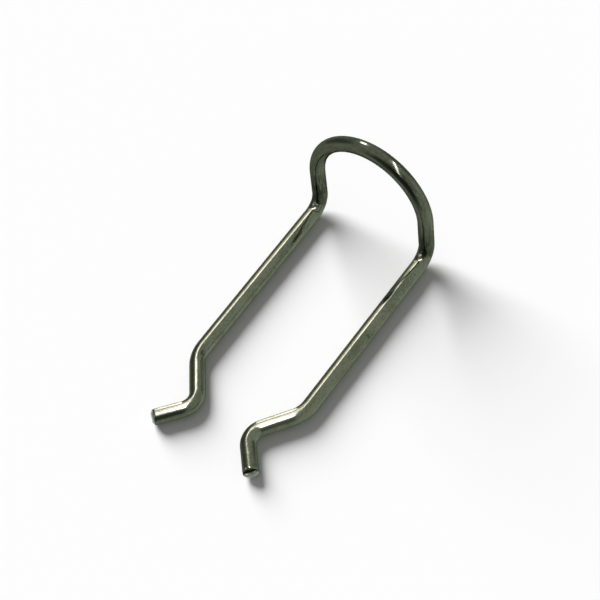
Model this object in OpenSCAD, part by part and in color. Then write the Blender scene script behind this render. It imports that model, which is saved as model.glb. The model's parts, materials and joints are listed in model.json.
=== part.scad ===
// Sprung wire retaining clip: one length of round spring wire, bent into a finger bow,
// two long legs, and two toes that pinch in and then flare out again at the mouth.
// Lying on its legs: X runs across the legs, Y from the toes (-Y) to the bow (+Y), Z up.
// The origin is the centre of the clip's footprint, on the surface that the legs lie on.

/* [Wire] */
// Diameter of the round wire
wire_d = 2.0; // [1.6:0.1:2.2]
// How much thicker the wire is across a bend, where the forming tools squeeze it
bend_swell = 0.02; // [0.02:0.01:0.06]

/* [Legs] */
// Distance between the centrelines of the two legs
leg_pitch = 16.5; // [15:0.5:20]
// Length of a leg, from the corner at the bow to the corner where it turns inwards
leg_len = 26.6; // [20:0.2:40]

/* [Toes] */
// Length of the inward slope, corner to corner
crank_len = 7.2; // [6:0.2:8]
// Angle by which the slope turns inwards from the leg
crank_in = 38; // [30:1:42]
// Length of the flared end, from its corner to where the cut face starts
toe_len = 5.4; // [4.4:0.2:7]
// Angle by which the end flares outwards from the leg
toe_out = 42; // [30:1:50]
// How far the lower half of the sheared end stands out past the upper half
shear_lip = 0.4; // [0.2:0.1:0.6]

/* [Bow] */
// Angle between the bow and the plane of the legs
bow_tilt = 82; // [70:1:90]
// Straight side of the bow, from the corner at the leg to the start of its arc
bow_side = 5.8; // [5:0.2:12]

/* [Bends] */
// Centreline radius of the bend between bow and leg
neck_r = 2.4; // [2.3:0.1:3]
// Centreline radius of the bend where a leg turns inwards
crank_r = 4.0; // [2.5:0.1:5]
// Centreline radius of the bend where a toe flares outwards
toe_r = 2.2; // [2.2:0.1:2.6]

/* [Hidden] */
$fn = 64;

steel = [0.60, 0.61, 0.55];

// A bend uses up this much of the straight on each side of its corner.
function setback(angle, radius) = radius * tan(angle / 2);

bow_r = leg_pitch / 2;
flare = crank_in + toe_out;
bend_d = wire_d + bend_swell;

// Each straight runs this far into the slightly thicker bend at its end, so that they are one solid.
lap = 0.1;

// Each leg flexes about the straight side of the bow, where the wire twists.
// The wire is divided there, just above the neck bend, by a plane square to its own axis.
neck_tail = 0.5;
split_at = setback(bow_tilt, neck_r) + neck_tail;

// Straight stretches between the bends
bow_straight = bow_side - split_at;
leg_straight = leg_len - setback(bow_tilt, neck_r) - setback(crank_in, crank_r);
crank_straight = crank_len - setback(crank_in, crank_r) - setback(flare, toe_r);
toe_straight = toe_len - setback(flare, toe_r);

// The origin sits midway between the crown of the bow and the tips of the toes,
// and the lowest points of the bends rest on z = 0.
crown_y = (bow_side + bow_r) * cos(bow_tilt) + bend_d / 2;
toe_y = -leg_len - crank_len * cos(crank_in);
tip_y = toe_y - (toe_len + shear_lip) * cos(toe_out) - wire_d / 2 * sin(toe_out);
neck_y = -(crown_y + tip_y) / 2;
axis_z = bend_d / 2;

// The wire is laid out along its own axis: a straight runs along +Z, and what follows goes on its end.
module run(length, start_lap = lap, end_lap = lap) {
    translate([0, 0, -start_lap]) cylinder(h = start_lap + length + end_lap, d = wire_d);
    translate([0, 0, length]) children();
}

// The wire bends towards its own +X, and what follows goes on its end.
module bend(angle, radius) {
    translate([radius, 0, 0]) rotate([90, 0, 180])
        rotate_extrude(angle = angle) translate([radius, 0]) circle(d = bend_d);
    translate([radius, 0, 0]) rotate([0, angle, 0]) translate([-radius, 0, 0]) children();
}

// Turns the wire about its own axis, so that the next bend goes another way.
module roll(angle) {
    rotate([0, 0, angle]) children();
}

// The last straight. The cutter shears through the upper half of the wire (+Y here),
// and the lower half breaks off further out.
module sheared_end(length) {
    difference() {
        translate([0, 0, -lap]) cylinder(h = lap + length + shear_lip, d = wire_d);
        translate([-wire_d, 0, length]) cube([2 * wire_d, wire_d, 2 * shear_lip]);
    }
}

// Places the wire at the dividing plane on the right-hand side, heading down the bow to the leg.
module at_split() {
    translate([bow_r, neck_y + split_at * cos(bow_tilt), axis_z + split_at * sin(bow_tilt)])
        rotate([90 + bow_tilt, 0, 0]) children();
}

// One leg from the dividing plane to its cut end: neck, leg, inward slope, flared toe
module leg() {
    at_split()
        run(neck_tail, start_lap = 0) roll(90) bend(bow_tilt, neck_r)
        run(leg_straight) roll(90) bend(crank_in, crank_r)
        run(crank_straight) roll(180) bend(flare, toe_r)
        sheared_end(toe_straight);
}

// The arch that a finger pulls on, from one dividing plane over to the other
module bow() {
    color(steel) at_split() rotate([0, 180, 0])
        run(bow_straight, start_lap = 0) bend(180, bow_r) run(bow_straight, end_lap = 0);
}

module right_leg() {
    color(steel) leg();
}

module left_leg() {
    color(steel) mirror([1, 0, 0]) leg();
}

bow();
left_leg();
right_leg();
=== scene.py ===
"""The looks of a sprung wire retaining clip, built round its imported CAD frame.

The clip is one length of drawn spring wire: a finger bow, two legs and two flared toes. The frame divides
it at the two places where it flexes, and each stretch is swept here as a dense closed mesh in the CAD's own
place, with the marks that the forming tools, the shear and use leave on such wire. Lengths are in metres and
angles in radians, except that the studio's directions and the sizes of its lights are in degrees.
"""

import json
import math
from collections import namedtuple

import bpy
import numpy as np
from mathutils import Matrix, Vector, noise

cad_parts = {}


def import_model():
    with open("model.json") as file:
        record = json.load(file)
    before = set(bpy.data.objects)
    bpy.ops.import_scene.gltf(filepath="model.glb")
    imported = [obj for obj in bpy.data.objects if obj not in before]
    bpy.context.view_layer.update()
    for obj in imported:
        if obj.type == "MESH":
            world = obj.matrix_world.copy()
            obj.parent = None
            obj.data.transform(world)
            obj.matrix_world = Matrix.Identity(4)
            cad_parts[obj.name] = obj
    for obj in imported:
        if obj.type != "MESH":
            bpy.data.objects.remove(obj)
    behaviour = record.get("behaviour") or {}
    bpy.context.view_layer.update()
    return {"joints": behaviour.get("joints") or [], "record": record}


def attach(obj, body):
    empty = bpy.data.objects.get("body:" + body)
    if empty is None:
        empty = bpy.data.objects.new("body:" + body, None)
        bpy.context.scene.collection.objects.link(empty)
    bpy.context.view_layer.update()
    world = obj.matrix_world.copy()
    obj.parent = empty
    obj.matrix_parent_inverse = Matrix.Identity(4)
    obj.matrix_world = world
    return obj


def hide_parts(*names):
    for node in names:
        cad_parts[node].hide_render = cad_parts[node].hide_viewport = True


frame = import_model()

MM = 0.001
DEG = math.pi / 180

# ---------------------------------------------------------------- driving dimensions, as in the CAD source
MOUNTS = {m["name"]: m for m in frame["record"]["mounts"]}
JOINTS = {j["name"]: j for j in frame["joints"]}
WIRE_R = MOUNTS["right_toe"]["dims"]["r_mm"] * MM
NECK = Vector(JOINTS["right_leg_flex"]["pos_m"])
BOW_UP = Vector(JOINTS["right_leg_flex"]["axis"])
BOW_R = NECK.x
BOW_SIDE = 5.8 * MM
NECK_R = 2.4 * MM
NECK_TAIL = 0.5 * MM
LEG_LEN = 26.6 * MM
CRANK_R = 4.0 * MM
CRANK_LEN = 7.2 * MM
CRANK_IN = 38 * DEG
TOE_R = 2.2 * MM
TOE_LEN = 5.4 * MM
TOE_OUT = 42 * DEG
SHEAR_LIP = 0.4 * MM

BOW_TILT = math.atan2(BOW_UP.z, BOW_UP.y)
FLARE = CRANK_IN + TOE_OUT


def setback(angle, radius):
    """How much of the straight on each side of its corner a bend uses up."""
    return radius * math.tan(angle / 2)


SPLIT_AT = setback(BOW_TILT, NECK_R) + NECK_TAIL
BOW_STRAIGHT = BOW_SIDE - SPLIT_AT
LEG_STRAIGHT = LEG_LEN - setback(BOW_TILT, NECK_R) - setback(CRANK_IN, CRANK_R)
CRANK_STRAIGHT = CRANK_LEN - setback(CRANK_IN, CRANK_R) - setback(FLARE, TOE_R)
TOE_STRAIGHT = TOE_LEN - setback(FLARE, TOE_R)

# Places along a leg's wire, from the dividing plane, and the length of the bow's wire
NECK_MID = NECK_TAIL + NECK_R * BOW_TILT / 2
LEG_START = NECK_TAIL + NECK_R * BOW_TILT
CRANK_START = LEG_START + LEG_STRAIGHT
BOW_END = 2 * BOW_STRAIGHT + math.pi * BOW_R

# Ways round the wire, from the top of a leg towards the other leg
TOP = 0 * DEG
INWARD = 90 * DEG
OUTWARD = -90 * DEG

# ---------------------------------------------------------------- mesh fineness
SIDES = 96
RING_STEP = 0.1 * MM
FINE_STEP = 0.045 * MM
END_STEP = 0.03 * MM
CAP_RINGS = 16
TIP_SHARE = 0.3

# Each piece stops this far short of the dividing plane, so that the flat ends don't rub as a leg flexes
HAIR = 0.002 * MM

# ---------------------------------------------------------------- marks on the wire
# A soft-edged patch: where its middle is along the wire and round it, its length and width, and its strength,
# which is the depth of a dent or the darkness of a patch of painted shade. At 1 and over such a patch is
# fully dark.
Mark = namedtuple("Mark", "at side length width strength")

RUBBED_AT = 9.7 * MM
NICK_AT = 15.8 * MM
NICK_SIDE = -52 * DEG
PINCH_AT = CRANK_START + 1.2 * MM
PINCH_SIDE = 42 * DEG

RIGHT_LEG_DENTS = {
    "neck crease": Mark(NECK_MID - 1.1 * MM, TOP, length=0.9 * MM, width=190 * DEG, strength=0.06 * MM),
    "neck dimple": Mark(NECK_MID + 0.2 * MM, -44 * DEG, length=0.5 * MM, width=34 * DEG, strength=0.03 * MM),
    "nick": Mark(NICK_AT, NICK_SIDE, length=0.42 * MM, width=30 * DEG, strength=0.09 * MM),
    "crank": Mark(CRANK_START + 1.0 * MM, 8 * DEG, length=0.8 * MM, width=30 * DEG, strength=0.02 * MM),
}
# Painted shade: darkens the rubbed flat to dim its highlight, and darkens the hollow of the nick.
RIGHT_LEG_SHADE_PATCHES = {
    "rubbed flat": Mark(RUBBED_AT, 10 * DEG, length=4.8 * MM, width=80 * DEG, strength=0.95),
    "nick": Mark(NICK_AT, NICK_SIDE, length=0.6 * MM, width=40 * DEG, strength=1.6),
}
LEFT_LEG_DENTS = {
    "neck crease": Mark(NECK_MID - 0.3 * MM, TOP, length=1.0 * MM, width=190 * DEG, strength=0.075 * MM),
    "neck dimple": Mark(NECK_MID + 0.25 * MM, 32 * DEG, length=0.5 * MM, width=18 * DEG, strength=0.03 * MM),
    "pinch": Mark(PINCH_AT, PINCH_SIDE, length=1.0 * MM, width=46 * DEG, strength=0.05 * MM),
}
for at, side in ((6.4, 96), (9.4, 88), (14.2, 92), (17.3, 100)):
    scuff = Mark(at * MM, side * DEG, length=1.5 * MM, width=26 * DEG, strength=0.025 * MM)
    LEFT_LEG_DENTS[f"scuff at {at}"] = scuff
# Painted shade in the pinched dent on the left crank bend.
LEFT_LEG_SHADE_PATCHES = {
    "pinch": Mark(PINCH_AT, PINCH_SIDE, length=1.1 * MM, width=60 * DEG, strength=1.2),
}
BOW_DENTS = {}
for from_end, side in ((BOW_END - 2.0 * MM, 100), (4.0 * MM, -8), (2.6 * MM, 20), (1.4 * MM, -20)):
    scuff = Mark(BOW_END - from_end, side * DEG, length=1.8 * MM, width=30 * DEG, strength=0.016 * MM)
    BOW_DENTS[f"scuff at {side}"] = scuff
# A painted dark reflection: a dark streak along the bow's right shoulder.
BOW_SHADE_STREAK = {
    "shoulder streak": Mark(10.5 * MM, 50 * DEG, length=13 * MM, width=84 * DEG, strength=0.6),
}


# ---------------------------------------------------------------- the wire's centreline
Ring = namedtuple("Ring", "place heading top side run bent toward")


class Pen:
    """Draws the wire's centreline. It heads along the wire, and `top` is the side that faces up on a leg."""

    def __init__(self, place, heading, top):
        self.place = place.copy()
        self.heading = heading.normalized()
        self.top = top.normalized()
        self.run = 0.0
        self.rings = []
        self.mark(bent=0.0, toward=TOP)

    def mark(self, bent, toward):
        side = self.heading.cross(self.top)
        ring = Ring(self.place.copy(), self.heading.copy(), self.top.copy(), side, self.run, bent, toward)
        self.rings.append(ring)

    def straight(self, length, step=RING_STEP):
        count = max(1, round(length / step))
        for _ in range(count):
            self.place += self.heading * (length / count)
            self.run += length / count
            self.mark(bent=0.0, toward=TOP)

    def bend(self, angle, radius, toward, step=RING_STEP):
        """Bends about a centre that lies `toward` round the wire from its top."""
        side = self.heading.cross(self.top)
        inside = self.top * math.cos(toward) + side * math.sin(toward)
        axis = self.heading.cross(inside)
        centre = self.place + inside * radius
        count = max(4, round(angle * radius / step))
        turn = Matrix.Rotation(angle / count, 3, axis)
        for i in range(count):
            self.place = centre + turn @ (self.place - centre)
            self.heading = turn @ self.heading
            self.top = turn @ self.top
            self.run += angle * radius / count
            share = (i + 1) / count
            self.mark(math.sin(math.pi * share) ** 0.5 if share < 1 else 0.0, toward)


def split_place():
    return NECK + BOW_UP * SPLIT_AT


def leg_top():
    """At the dividing plane, the side of the wire that becomes the top of the leg."""
    return Vector((1, 0, 0)).cross(BOW_UP)


def draw_leg():
    pen = Pen(split_place() - BOW_UP * HAIR, -BOW_UP, leg_top())
    pen.straight(NECK_TAIL - HAIR, FINE_STEP)
    pen.bend(BOW_TILT, NECK_R, TOP, FINE_STEP)
    pen.straight(LEG_STRAIGHT)
    pen.bend(CRANK_IN, CRANK_R, INWARD)
    pen.straight(CRANK_STRAIGHT)
    pen.bend(FLARE, TOE_R, OUTWARD, FINE_STEP)
    pen.straight(TOE_STRAIGHT * (1 - TIP_SHARE))
    pen.straight(TOE_STRAIGHT * TIP_SHARE, END_STEP)
    return pen.rings


def draw_bow():
    pen = Pen(split_place() + BOW_UP * HAIR, BOW_UP, leg_top())
    pen.straight(BOW_STRAIGHT - HAIR)
    pen.bend(math.pi, BOW_R, OUTWARD)
    pen.straight(BOW_STRAIGHT - HAIR)
    return pen.rings


# ---------------------------------------------------------------- the wire's surface
def hump(distance, reach):
    """1 at the middle, falling smoothly to 0 at `reach` either side."""
    share = np.clip(1 - np.abs(distance) / reach, 0, 1)
    return share * share * (3 - 2 * share)


def ramp(value, start, end):
    """0 before start, 1 after end, smooth between."""
    share = np.clip((value - start) / (end - start), 0, 1)
    return share * share * (3 - 2 * share)


def turned(around, middle):
    """How far round the wire from `middle`, between half a turn either way."""
    return (around - middle + math.pi) % (2 * math.pi) - math.pi


def total(marks, along, around):
    """How deep the dents are together, or how dark the patches of painted shade are."""
    amount = 0
    for mark in marks.values():
        lengthwise = hump(along - mark.at, mark.length / 2)
        amount = amount + mark.strength * lengthwise * hump(turned(around, mark.side), mark.width / 2)
    return amount


def flat(along, around, at, side, length, depth):
    """What a flat-faced tool takes off: a chord across the round, run out at both ends."""
    cut = depth * hump(along - at, length / 2)
    across = np.cos(turned(around, side))
    faces_tool = across > 0.3
    face = (WIRE_R - cut) / np.where(faces_tool, across, 1.0)
    return np.maximum(0, WIRE_R - face) * faces_tool


def bend_squeeze(bent, toward, around):
    """Across a bend the wire goes slightly oval: pressed in the bend's plane, full at right angles to it."""
    pressed, full = 0.022 * MM, 0.006 * MM
    in_plane = np.cos(around - toward) ** 2
    return bent * (pressed * in_plane - full * (1 - in_plane))


def wander(place, size, seed):
    """A slow unevenness, from -1 to 1."""
    return noise.noise(Vector(place) / size + Vector((seed, 0.37 * seed, 0)))


def sunk(place):
    """How far the drawn surface lies inside the true round, which a slow wave and a fine one vary."""
    slow = 0.0035 * MM * wander(place, 1.6 * MM, 3)
    fine = 0.0018 * MM * wander(place, 0.5 * MM, 11)
    return slow + fine + 0.004 * MM


def right_leg_marks(along, around):
    """A crease in the neck, a nick, the crank bend's tool mark, and a flat where the leg rubs."""
    rubbed = flat(along, around, RUBBED_AT, side=20 * DEG, length=4.2 * MM, depth=0.08 * MM)
    return rubbed + total(RIGHT_LEG_DENTS, along, around)


def left_leg_marks(along, around):
    """A crease in the neck, a pinch on the crank bend, and scuffs along the inner side."""
    return total(LEFT_LEG_DENTS, along, around)


def bow_marks(along, around):
    """Small scuffs on the bow's sides."""
    return total(BOW_DENTS, along, around)


def neck_crease_shade(along, around):
    """Painted shade in the crease of the neck and on the wire just above it, most on the inside of the bend.
    """
    inside = 0.45 + 0.55 * hump(turned(around, TOP), 130 * DEG)
    return (1 - ramp(along, NECK_MID - 0.5 * MM, NECK_MID + 0.1 * MM)) * inside


def right_leg_shade(along, around):
    """Adds painted shade on the rubbed flat, which dims its highlight, and in the hollow of the nick."""
    return np.clip(neck_crease_shade(along, around) + total(RIGHT_LEG_SHADE_PATCHES, along, around), 0, 1)


def left_leg_shade(along, around):
    """Adds painted shade in the pinched dent on the crank bend."""
    return np.clip(neck_crease_shade(along, around) + total(LEFT_LEG_SHADE_PATCHES, along, around), 0, 1)


def bow_tarnish_and_shade(along, around):
    """A little tarnish all over the bow, painted shade where it rises from its necks, and a painted dark
    reflection streak on its right shoulder.
    """
    all_over, at_necks = 0.3, 0.7
    to_right = 1 - ramp(along, 0.3 * MM, 4.2 * MM)
    to_left = 1 - ramp(BOW_END - along, 0.5 * MM, 5.5 * MM)
    inside = 0.35 + 0.65 * hump(turned(around, TOP), 120 * DEG)
    necks = at_necks * to_right * inside + at_necks * to_left
    return np.clip(all_over + necks + total(BOW_SHADE_STREAK, along, around), 0, 1)


# ---------------------------------------------------------------- the sheared end
def broken_share(up, across):
    """1 on the lower part of the sheared end, where the wire breaks off, and 0 on the upper part, which the
    cutter goes through. `up` and `across` run from -1 to 1 over the end's disc. The border is a shallow curve
    that leans to one side."""
    middle, curve, lean = 0.10, 0.16, -0.22
    border = middle + curve * across * across + lean * across
    return 1 - ramp(up, border - 0.12, border + 0.05)


def lip_height(up, across):
    """How far the sheared end stands out. The broken part is further out and round-shouldered."""
    reach = np.sqrt(up * up + across * across)
    shoulder = 1 - 0.55 * ramp(reach, 0.62, 1.0)
    return SHEAR_LIP * broken_share(up, across) * shoulder


def end_rounding(to_end, up_side):
    """How far the rim draws in where the cutter rolls the edge over, most at the top."""
    rolled = 0.05 * MM + 0.09 * MM * up_side
    share = np.clip(to_end / (2.2 * rolled), 0, 1)
    return rolled * (1 - np.sqrt(np.clip(1 - (1 - share) ** 2, 0, 1)))


# ---------------------------------------------------------------- sweeping a closed mesh
def wire_grid(rings):
    """The distance along the wire and the angle round it, at every point of the skin."""
    runs = [ring.run for ring in rings]
    angles = np.arange(SIDES) * (2 * math.pi / SIDES)
    return np.meshgrid(runs, angles, indexing="ij")


def ring_vectors(rings, field):
    """One of the rings' vectors, as a column that goes with the grid."""
    return np.array([getattr(ring, field)[:] for ring in rings])[:, None, :]


def skin_points(rings, marks, sheared):
    """A row of points round the wire for each ring."""
    lip_fades_by = 0.9 * MM
    along, around = wire_grid(rings)
    up_share, side_share = np.cos(around), np.sin(around)
    to_end = along[-1, 0] - along
    bent = np.array([[ring.bent] for ring in rings])
    toward = np.array([[ring.toward] for ring in rings])
    radius = WIRE_R - bend_squeeze(bent, toward, around) - marks(along, around)
    if sheared:
        radius -= end_rounding(to_end, np.clip(up_share, 0, 1))
    out = ring_vectors(rings, "top") * up_share[..., None]
    out = out + ring_vectors(rings, "side") * side_share[..., None]
    points = ring_vectors(rings, "place") + out * radius[..., None]
    for i, row in enumerate(points):
        for j, point in enumerate(row):
            points[i, j] = point - out[i, j] * sunk(point)
    if sheared:
        height = lip_height(up_share, side_share) * (1 - ramp(to_end, 0, lip_fades_by))
        points += ring_vectors(rings, "heading") * height[..., None]
    return points


def skin_faces(count):
    """One quad for each step along and round the wire."""
    faces = []
    for i in range(count - 1):
        for j in range(SIDES):
            k = (j + 1) % SIDES
            faces.append((i * SIDES + j, i * SIDES + k, (i + 1) * SIDES + k, (i + 1) * SIDES + j))
    return faces


def cap_points(rim, ring, rough):
    """Rings inside a rim, closing on the middle. A rough cap is a sheared one, with its lip and grain."""
    grain_depth = 0.022 * MM
    centre, heading = np.array(ring.place), np.array(ring.heading)
    angles = np.arange(SIDES) * (2 * math.pi / SIDES)
    up, across = np.cos(angles), np.sin(angles)
    flat_rim = rim - np.outer((rim - centre) @ heading, heading)
    rows = []
    for share in np.linspace(1, 0, CAP_RINGS + 1)[1:]:
        row = centre + (flat_rim - centre) * share
        if rough:
            grain = np.array([wander(p, 0.16 * MM, 29) + 0.6 * wander(p, 0.07 * MM, 5) for p in row])
            broken_part = ramp(-up * share, -0.25, 0.1)
            height = lip_height(up * share, across * share) + grain_depth * grain * broken_part
            row = row + height[:, None] * heading
        rows.append(row)
    middle = rows.pop().mean(0)
    return np.concatenate(rows + [middle[None, :]])


def cap_wire_space(rim):
    """Where the cap's points are in the straightened wire, for the material."""
    centre = np.array([0, 0, rim[0, 2]])
    rows = [centre + (rim - centre) * share for share in np.linspace(1, 0, CAP_RINGS + 1)[1:-1]]
    return np.concatenate(rows + [centre[None, :]])


def cap_faces(rim, first, flip):
    """Quads from the rim inwards, and triangles round the middle point."""
    faces = []
    middle = first + (CAP_RINGS - 1) * SIDES
    for j in range(SIDES):
        k = (j + 1) % SIDES
        outer_j, outer_k = rim + j, rim + k
        for row in range(CAP_RINGS - 1):
            inner_j, inner_k = first + row * SIDES + j, first + row * SIDES + k
            faces.append((outer_j, outer_k, inner_k, inner_j))
            outer_j, outer_k = inner_j, inner_k
        faces.append((outer_j, outer_k, middle))
    return [f[::-1] for f in faces] if flip else faces


def sweep(name, rings, marks, grime, mirrored, sheared):
    """A closed mesh round the centreline. Its last end is the sheared one, if it has one."""
    along, around = wire_grid(rings)
    wire_space = np.stack([np.cos(around) * WIRE_R, np.sin(around) * WIRE_R, along], -1)
    points = skin_points(rings, marks, sheared)
    faces = skin_faces(len(rings))
    verts = [points.reshape(-1, 3)]
    space = [wire_space.reshape(-1, 3)]
    broken = [np.zeros(around.size)]
    # Tarnish and painted shade over the skin.
    grime_and_shade_share = [grime(along, around).ravel()]
    last_rim = (len(rings) - 1) * SIDES
    for end, rim in ((0, 0), (-1, last_rim)):
        rough = sheared and end == -1
        faces += cap_faces(rim, sum(len(v) for v in verts), flip=end == 0)
        verts.append(cap_points(points[end], rings[end], rough))
        space.append(cap_wire_space(wire_space[end]))
        up, across = space[-1][:, 0] / WIRE_R, space[-1][:, 1] / WIRE_R
        broken.append(broken_share(up, across) * rough)
        # The upper, recessed face of a sheared end is fully darkened: painted shade.
        grime_and_shade_share.append((1 - broken_share(up, across)) * rough)
    verts = np.concatenate(verts)
    if mirrored:
        verts = verts * np.array([-1, 1, 1])
        faces = [f[::-1] for f in faces]
    shades = {"broken": np.concatenate(broken), "grime": np.concatenate(grime_and_shade_share)}
    flat_cut_rims = [0] if sheared else [0, last_rim]
    return build(name, verts, faces, np.concatenate(space), shades, flat_cut_rims)


def build(name, verts, faces, space, shades, flat_cut_rims):
    mesh = bpy.data.meshes.new(name)
    mesh.from_pydata(verts.tolist(), [], faces)
    wire_space = mesh.attributes.new("wire_space", "FLOAT_VECTOR", "POINT")
    wire_space.data.foreach_set("vector", space.ravel() / MM)
    for shade, values in shades.items():
        mesh.attributes.new(shade, "FLOAT", "POINT").data.foreach_set("value", values)
    mesh.shade_smooth()
    sharpen_rims(mesh, flat_cut_rims)
    mesh.validate()
    piece = bpy.data.objects.new(name, mesh)
    bpy.context.scene.collection.objects.link(piece)
    return piece


def sharpen_rims(mesh, rims):
    """The dividing planes are flat cuts, and sharp rims keep the round skin's shading clean beside them."""
    wanted = {frozenset((rim + j, rim + (j + 1) % SIDES)) for rim in rims for j in range(SIDES)}
    sharp = mesh.attributes.new("sharp_edge", "BOOLEAN", "EDGE")
    for edge in mesh.edges:
        sharp.data[edge.index].value = frozenset(edge.vertices) in wanted


# ---------------------------------------------------------------- the steel
class Nodes:
    """A short hand for wiring shader nodes."""

    def __init__(self, tree):
        self.tree = tree
        tree.nodes.clear()

    def add(self, kind, **settings):
        node = self.tree.nodes.new(kind)
        for name, value in settings.items():
            setattr(node, name, value)
        return node

    def link(self, source, target):
        self.tree.links.new(source, target)

    def number(self, operation, first, second, clamp=False):
        node = self.add("ShaderNodeMath", operation=operation, use_clamp=clamp)
        for socket, value in zip(node.inputs, (first, second)):
            if isinstance(value, (int, float)):
                socket.default_value = value
            else:
                self.link(value, socket)
        return node.outputs[0]

    def remap(self, value, low, high, to_low=0.0, to_high=1.0):
        node = self.add("ShaderNodeMapRange", interpolation_type="SMOOTHSTEP")
        self.link(value, node.inputs["Value"])
        for name, number in (("From Min", low), ("From Max", high), ("To Min", to_low), ("To Max", to_high)):
            node.inputs[name].default_value = number
        return node.outputs[0]

    def noise(self, place, lengthwise, scale, detail, rough=0.55):
        """Noise over the wire's own space. A `lengthwise` below 1 draws it out along the wire."""
        scaled = self.add("ShaderNodeMapping")
        scaled.inputs["Scale"].default_value = (1, 1, lengthwise)
        self.link(place, scaled.inputs["Vector"])
        node = self.add("ShaderNodeTexNoise")
        node.inputs["Scale"].default_value = scale
        node.inputs["Detail"].default_value = detail
        node.inputs["Roughness"].default_value = rough
        self.link(scaled.outputs[0], node.inputs["Vector"])
        return node.outputs["Fac"]

    def blend(self, share, first, second):
        node = self.add("ShaderNodeMix", data_type="RGBA")
        self.link(share, node.inputs["Factor"])
        for socket, value in zip((node.inputs[6], node.inputs[7]), (first, second)):
            if isinstance(value, tuple):
                socket.default_value = (*value, 1.0)
            else:
                self.link(value, socket)
        return node.outputs[2]


CLEAN_STEEL = (0.33, 0.345, 0.275)
TARNISHED = (0.215, 0.24, 0.175)
# The dark colour for tarnish and painted shade.
GRIME_AND_SHADE_COLOUR = (0.060, 0.073, 0.050)
BROKEN_STEEL = (0.50, 0.54, 0.48)
EDGE_TINT = (0.62, 0.66, 0.56)
POLISHED, DULLED = 0.09, 0.15
SCUFF_DULLS = 0.16
BREAK_DULLS = 0.3
RELIEF = 0.004 * MM


def spring_wire():
    """Drawn spring steel: die lines along the wire, uneven tarnish with painted shade in the necks, dents,
    sheared ends and bow, small scuffs, and a dull broken end.
    """
    material = bpy.data.materials.new("spring_wire")
    material.use_nodes = True
    n = Nodes(material.node_tree)
    place = n.add("ShaderNodeAttribute", attribute_name="wire_space").outputs["Vector"]
    broken = n.add("ShaderNodeAttribute", attribute_name="broken").outputs["Fac"]
    grime = n.add("ShaderNodeAttribute", attribute_name="grime").outputs["Fac"]
    cloud = n.noise(place, lengthwise=0.35, scale=0.9, detail=4)
    mottle = n.noise(place, lengthwise=0.6, scale=5, detail=3, rough=0.6)
    die_lines = n.noise(place, lengthwise=0.03, scale=9, detail=3, rough=0.7)
    scuffs = n.remap(n.noise(place, lengthwise=0.22, scale=3.2, detail=5, rough=0.72), 0.60, 0.70)
    patchy = n.noise(place, lengthwise=0.12, scale=4.5, detail=4, rough=0.65)

    patches = n.number("ADD", n.number("MULTIPLY", cloud, 0.5), n.number("MULTIPLY", mottle, 0.5))
    colour = n.blend(n.remap(patches, 0.42, 0.60), CLEAN_STEEL, TARNISHED)
    # Tarnish and painted shade: the grime attribute darkens the colour toward the dark constant, in patches.
    patchy_share = n.remap(patchy, 0.47, 0.62, 1.0, 0.25)
    colour = n.blend(n.number("MULTIPLY", grime, patchy_share, clamp=True), colour, GRIME_AND_SHADE_COLOUR)
    colour = n.blend(broken, colour, BROKEN_STEEL)

    gloss = n.remap(cloud, 0.35, 0.7, POLISHED, DULLED)
    gloss = n.number("ADD", gloss, n.number("MULTIPLY", scuffs, SCUFF_DULLS))
    gloss = n.number("ADD", gloss, n.number("MULTIPLY", broken, BREAK_DULLS), clamp=True)

    relief = n.number("ADD", n.number("MULTIPLY", die_lines, 0.5), n.number("MULTIPLY", mottle, 0.35))
    relief = n.number("ADD", relief, n.number("MULTIPLY", scuffs, -0.5))
    bump = n.add("ShaderNodeBump")
    bump.inputs["Strength"].default_value = 1.0
    bump.inputs["Distance"].default_value = RELIEF
    n.link(relief, bump.inputs["Height"])

    steel = n.add("ShaderNodeBsdfPrincipled")
    steel.inputs["Specular Tint"].default_value = (*EDGE_TINT, 1.0)
    n.link(n.remap(broken, 0.0, 1.0, to_low=1.0, to_high=0.25), steel.inputs["Metallic"])
    n.link(colour, steel.inputs["Base Color"])
    n.link(gloss, steel.inputs["Roughness"])
    n.link(bump.outputs[0], steel.inputs["Normal"])
    result = n.add("ShaderNodeOutputMaterial")
    n.link(steel.outputs[0], result.inputs["Surface"])
    return material


def make_wire(material):
    """The three pieces. The left leg is drawn as the right one and mirrored, with its own marks."""
    pieces = {}
    for node, rings, marks, grime, mirrored in (
        ("bow", draw_bow(), bow_marks, bow_tarnish_and_shade, False),
        ("left_leg", draw_leg(), left_leg_marks, left_leg_shade, True),
        ("right_leg", draw_leg(), right_leg_marks, right_leg_shade, False),
    ):
        piece = sweep(node + "_wire", rings, marks, grime, mirrored, sheared=node != "bow")
        piece.data.materials.append(material)
        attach(piece, node)
        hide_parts(node)
        pieces[node] = piece
    return pieces


# ---------------------------------------------------------------- the studio
LIGHT_DISTANCE = 0.4
CREAM = (1.0, 0.88, 0.98)
GOLD = (1.0, 0.875, 0.72)
OLIVE = (0.93, 1.0, 0.88)
BACKDROP = 0.98
FLOOR_FILL = 0.2
WALLS = 0.31
DARKEST_WALL = 0.05


def toward_sky(azimuth, elevation):
    """A direction, from degrees: azimuth 0 is -Y and 90 is +X."""
    a, e = azimuth * DEG, elevation * DEG
    return Vector((math.sin(a) * math.cos(e), -math.cos(a) * math.cos(e), math.sin(e)))


def floor():
    """Pale ground for the shadow. The steel doesn't reflect it."""
    bpy.ops.mesh.primitive_plane_add(size=8.0, location=(0, 0, 0))
    plane = bpy.context.object
    plane.name = "floor"
    plane.visible_glossy = False
    plane.visible_shadow = False
    material = bpy.data.materials.new("pale_floor")
    material.use_nodes = True
    paint = material.node_tree.nodes["Principled BSDF"]
    paint.inputs["Base Color"].default_value = (0.9, 0.9, 0.9, 1)
    paint.inputs["Roughness"].default_value = 1.0
    paint.inputs["Specular IOR Level"].default_value = 0.0
    plane.data.materials.append(material)


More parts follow.
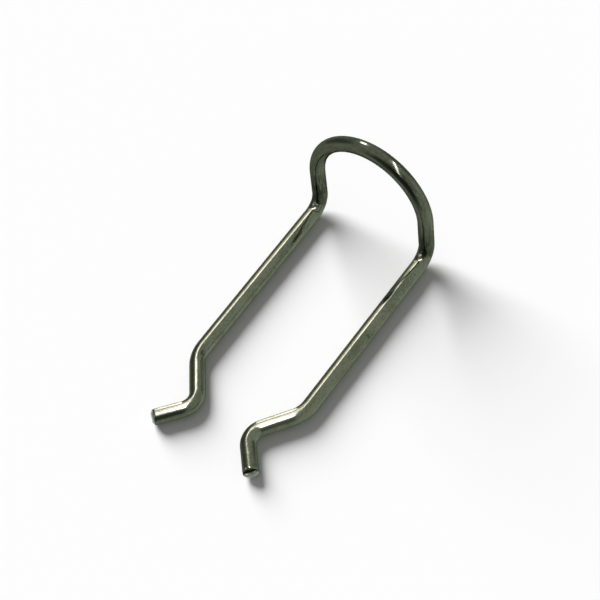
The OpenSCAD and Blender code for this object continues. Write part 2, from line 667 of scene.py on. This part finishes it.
def key_light():
    """The large soft light that casts the shadow. It isn't seen in the steel."""
    data = bpy.data.lights.new("key", "SUN")
    data.energy = 6.0
    data.angle = 38 * DEG
    light = bpy.data.objects.new("key", data)
    light.rotation_mode = "QUATERNION"
    light.rotation_quaternion = toward_sky(azimuth=-114, elevation=28).to_track_quat("Z", "Y")
    light.visible_glossy = False
    bpy.context.scene.collection.objects.link(light)


def strip_light(name, azimuth, elevation, height, width, radiance, tint, roll=0):
    """A soft strip for the steel to reflect. Its place, size and roll are in degrees, as the clip sees it."""
    data = bpy.data.lights.new(name, "AREA")
    data.shape = "RECTANGLE"
    data.size = 2 * LIGHT_DISTANCE * math.tan(width * DEG / 2)
    data.size_y = 2 * LIGHT_DISTANCE * math.tan(height * DEG / 2)
    data.energy = radiance * math.pi * data.size * data.size_y
    data.color = tint
    light = bpy.data.objects.new(name, data)
    back = toward_sky(azimuth, elevation)
    light.location = back * LIGHT_DISTANCE
    light.rotation_mode = "QUATERNION"
    turn = Matrix.Rotation(roll * DEG, 4, "Z").to_quaternion()
    light.rotation_quaternion = back.to_track_quat("Z", "Y") @ turn
    light.visible_diffuse = False
    light.visible_camera = False
    bpy.context.scene.collection.objects.link(light)
    return light


def only_on(lights, name, pieces):
    """Keeps these lights' reflections to these pieces."""
    lit = bpy.data.collections.new(name)
    for piece in pieces:
        lit.objects.link(piece)
    for light in lights:
        light.light_linking.receiver_collection = lit


def studio_lights(pieces):
    on_legs = [
        strip_light("overhead", -22, 86, height=46, width=11, radiance=7.0, tint=CREAM, roll=-106),
        strip_light("skylight", -133, 55, height=10, width=24, radiance=3.0, tint=CREAM),
        strip_light("window_top", -124, 44, height=34, width=22, radiance=0.95, tint=GOLD),
        strip_light("window", -132, 4, height=44, width=20, radiance=4.2, tint=CREAM),
        strip_light("front", -40, 34, height=14, width=40, radiance=1.4, tint=CREAM),
    ]
    on_bow = [
        strip_light("tube", 99, 61, height=3.5, width=84, radiance=11.0, tint=CREAM),
        strip_light("window_far", -144, 35, height=24, width=8, radiance=7.0, tint=CREAM, roll=-23),
    ]
    only_on(on_legs, "legs", (pieces["left_leg"], pieces["right_leg"]))
    only_on(on_bow, "arch", (pieces["bow"],))


def wall_level(n):
    """How bright the walls are in each direction. A patch brightens or darkens them by `change`, whole within
    `full` degrees of its middle and gone by `gone` degrees."""
    direction = n.add("ShaderNodeTexCoord").outputs["Generated"]
    level = WALLS
    for azimuth, elevation, full, gone, change in (
        (105, -20, 20, 80, 0.12),
        (170, 70, 10, 60, 0.10),
        (132, -55, 5, 30, 0.10),
        (-90, 18, 10, 34, -0.20),
        (-128, -62, 8, 34, -0.26),
        (16, 20, 22, 48, -0.25),
        (170, 2, 8, 30, -0.12),
    ):
        nearness = n.add("ShaderNodeVectorMath", operation="DOT_PRODUCT")
        n.link(direction, nearness.inputs[0])
        nearness.inputs[1].default_value = toward_sky(azimuth, elevation)
        patch = n.remap(nearness.outputs["Value"], math.cos(gone * DEG), math.cos(full * DEG), 0.0, change)
        level = n.number("ADD", level, patch)
    return n.number("MAXIMUM", level, DARKEST_WALL)


def world():
    """Dim olive walls for the steel, a white backdrop for the camera, and a little fill for the floor."""
    sky = bpy.data.worlds.new("studio")
    sky.use_nodes = True
    n = Nodes(sky.node_tree)
    rays = n.add("ShaderNodeLightPath")
    to_steel = n.add("ShaderNodeBackground")
    to_steel.inputs["Color"].default_value = (*OLIVE, 1)
    n.link(wall_level(n), to_steel.inputs["Strength"])
    to_the_rest = n.add("ShaderNodeBackground")
    to_the_rest.inputs["Color"].default_value = (1, 1, 1, 1)
    to_camera = n.number("MULTIPLY", rays.outputs["Is Camera Ray"], BACKDROP - FLOOR_FILL)
    n.link(n.number("ADD", to_camera, FLOOR_FILL), to_the_rest.inputs["Strength"])
    mix = n.add("ShaderNodeMixShader")
    n.link(rays.outputs["Is Glossy Ray"], mix.inputs[0])
    n.link(to_the_rest.outputs[0], mix.inputs[1])
    n.link(to_steel.outputs[0], mix.inputs[2])
    result = n.add("ShaderNodeOutputWorld")
    n.link(mix.outputs[0], result.inputs["Surface"])
    bpy.context.scene.world = sky


def camera():
    """Looks down on the clip from in front of its right side, rolled so that the legs run up to the right."""
    roll = 17.02 * DEG
    distance, aim_left, aim_below = 238.5 * MM, 9.31 * MM, 9.07 * MM
    back = toward_sky(azimuth=50.06, elevation=54.78)
    level = Vector((0, 0, 1)).cross(back).normalized()
    right = Matrix.Rotation(-roll, 3, back) @ level
    up = back.cross(right)
    neck_middle = Vector((0, NECK.y, NECK.z))
    data = bpy.data.cameras.new("camera")
    data.sensor_width = 36.0
    data.lens = 112.8
    data.clip_start = 0.01
    view = bpy.data.objects.new("camera", data)
    place = neck_middle - right * aim_left - up * aim_below + back * distance
    turn = Matrix((right, up, back)).transposed().to_4x4()
    view.matrix_world = Matrix.Translation(place) @ turn
    bpy.context.scene.collection.objects.link(view)
    bpy.context.scene.camera = view


camera()
wire = make_wire(spring_wire())
floor()
key_light()
studio_lights(wire)
world()
bpy.context.scene.view_settings.view_transform = "Standard"
